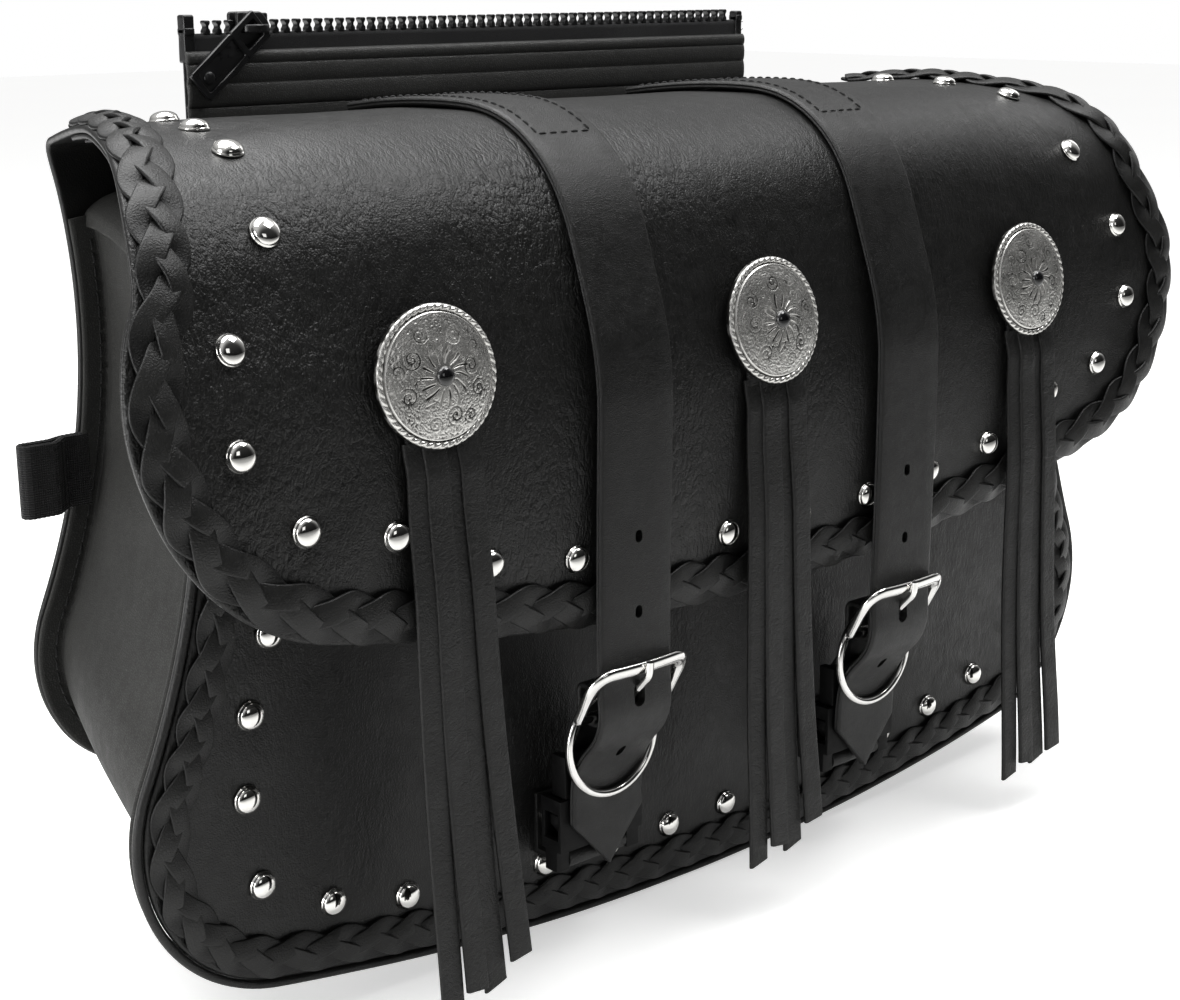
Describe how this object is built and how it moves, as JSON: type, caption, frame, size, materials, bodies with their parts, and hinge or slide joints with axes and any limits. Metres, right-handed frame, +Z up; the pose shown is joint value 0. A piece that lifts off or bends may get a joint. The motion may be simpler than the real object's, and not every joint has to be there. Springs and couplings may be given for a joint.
{
  "type": "motorcycle saddlebag",
  "caption": "Throw-over saddlebag with a hinged lid, buckled straps, fringed conchos, laced edges, dome studs and a zip-on top edge.",
  "frame": {"origin": "centre of the back panel's outer face", "axes": "+X along the bag, -Y is the front, +Z is up"},
  "size_m": [0.472, 0.1687, 0.3097],
  "materials": {
    "body_leather": "black grained PU leather with a soft sheen",
    "trim_leather": "black laced braid and rolled piping",
    "strap_leather": "smooth black strap leather",
    "fringe_leather": "soft black fringe leather",
    "board": "fibre stiffening board",
    "lining": "plain woven black lining",
    "stud_chrome": "bright chrome",
    "buckle_chrome": "bright chrome wire",
    "concho_silver": "engraved antique silver",
    "concho_stone": "black glossy stone",
    "webbing": "coarse black webbing",
    "zip_leather": "smooth black facing leather",
    "zip_tape": "woven black zip tape",
    "zip_plastic": "moulded black zip plastic",
    "zip_metal": "black enamelled metal",
    "clip_plastic": "moulded black clip plastic"
  },
  "bodies": {
    "pouch": {"back_panel": "body_leather", "back_board": "board", "back_lining": "lining", "gusset": "body_leather", "base_board": "board", "front_panel": "body_leather", "front_board": "board", "front_lining": "lining", "front_piping": "trim_leather", "front_braid": "trim_leather", "front_studs": "stud_chrome", "tie_loops": "webbing", "zip_facing": "zip_leather", "zip_tape": "zip_tape", "zip_teeth": "zip_plastic", "zip_box": "zip_plastic", "zip_stop": "zip_plastic", "socket_left": "clip_plastic", "socket_right": "clip_plastic", "socket_tabs": "strap_leather", "tab_rivets": "stud_chrome"},
    "lid": {"lid_leather": "body_leather", "lid_board": "board", "lid_lining": "lining", "lid_braid": "trim_leather", "lid_studs": "stud_chrome", "strap_left": "strap_leather", "strap_right": "strap_leather", "buckle_frame_left": "buckle_chrome", "buckle_frame_right": "buckle_chrome", "chape_left": "strap_leather", "chape_right": "strap_leather", "clip_left": "clip_plastic", "clip_right": "clip_plastic", "conchos": "concho_silver", "concho_stones": "concho_stone", "concho_screws": "concho_silver", "fringe_heads": "fringe_leather"},
    "prong_left": {"prong_left": "buckle_chrome"},
    "prong_right": {"prong_right": "buckle_chrome"},
    "ring_left": {"ring_left": "buckle_chrome"},
    "ring_right": {"ring_right": "buckle_chrome"},
    "clip_arm_left_a": {"clip_arm_left_a": "clip_plastic"},
    "clip_arm_left_b": {"clip_arm_left_b": "clip_plastic"},
    "clip_arm_right_a": {"clip_arm_right_a": "clip_plastic"},
    "clip_arm_right_b": {"clip_arm_right_b": "clip_plastic"},
    "fringe_left": {"fringe_left": "fringe_leather"},
    "fringe_middle": {"fringe_middle": "fringe_leather"},
    "fringe_right": {"fringe_right": "fringe_leather"},
    "zip_slider": {"zip_slider": "zip_metal"},
    "zip_pull": {"zip_pull": "zip_metal"}
  },
  "joints": [
    {"name": "lid_hinge", "type": "hinge", "parent": "pouch", "child": "lid", "pos_m": [0, -0.025, 0.1295], "axis": [-1, 0, 0], "range_deg": [0, 90]},
    {"name": "prong_left_pivot", "type": "hinge", "parent": "lid", "child": "prong_left", "pos_m": [-0.065, -0.1536, -0.055], "axis": [1, 0, 0], "range_deg": [0, 8]},
    {"name": "ring_left_swing", "type": "hinge", "parent": "lid", "child": "ring_left", "pos_m": [-0.065, -0.1486, -0.0489], "axis": [-1, 0, 0], "range_deg": [0, 10]},
    {"name": "clip_arm_left_b_flex", "type": "hinge", "parent": "lid", "child": "clip_arm_left_b", "pos_m": [-0.0544, -0.14, -0.0862], "axis": [0, 1, 0], "range_deg": [0, 8]},
    {"name": "clip_arm_left_a_flex", "type": "hinge", "parent": "lid", "child": "clip_arm_left_a", "pos_m": [-0.0756, -0.14, -0.0862], "axis": [0, -1, 0], "range_deg": [0, 8]},
    {"name": "prong_right_pivot", "type": "hinge", "parent": "lid", "child": "prong_right", "pos_m": [0.065, -0.1536, -0.055], "axis": [1, 0, 0], "range_deg": [0, 8]},
    {"name": "ring_right_swing", "type": "hinge", "parent": "lid", "child": "ring_right", "pos_m": [0.065, -0.1486, -0.0489], "axis": [-1, 0, 0], "range_deg": [0, 10]},
    {"name": "clip_arm_right_b_flex", "type": "hinge", "parent": "lid", "child": "clip_arm_right_b", "pos_m": [0.0756, -0.14, -0.0862], "axis": [0, 1, 0], "range_deg": [0, 8]},
    {"name": "clip_arm_right_a_flex", "type": "hinge", "parent": "lid", "child": "clip_arm_right_a", "pos_m": [0.0544, -0.14, -0.0862], "axis": [0, -1, 0], "range_deg": [0, 8]},
    {"name": "fringe_left_swing", "type": "hinge", "parent": "lid", "child": "fringe_left", "pos_m": [-0.1385, -0.1578, 0.042], "axis": [-1, 0, 0], "range_deg": [0, 60]},
    {"name": "fringe_middle_swing", "type": "hinge", "parent": "lid", "child": "fringe_middle", "pos_m": [0, -0.1578, 0.042], "axis": [-1, 0, 0], "range_deg": [0, 60]},
    {"name": "fringe_right_swing", "type": "hinge", "parent": "lid", "child": "fringe_right", "pos_m": [0.1385, -0.1578, 0.042], "axis": [-1, 0, 0], "range_deg": [0, 60]},
    {"name": "zip_slide", "type": "slide", "parent": "pouch", "child": "zip_slider", "axis": [1, 0, 0], "range_m": [0, 0.217]},
    {"name": "zip_pull_flip", "type": "hinge", "parent": "zip_slider", "child": "zip_pull", "pos_m": [-0.105, -0.0144, 0.16], "axis": [-0.6428, 0, 0.766], "range_deg": [0, 180]}
  ],
  "couplings": [
    {"joint": "clip_arm_left_a_flex", "follows": "clip_arm_left_b_flex", "ratio": 1},
    {"joint": "clip_arm_right_a_flex", "follows": "clip_arm_right_b_flex", "ratio": 1}
  ]
}
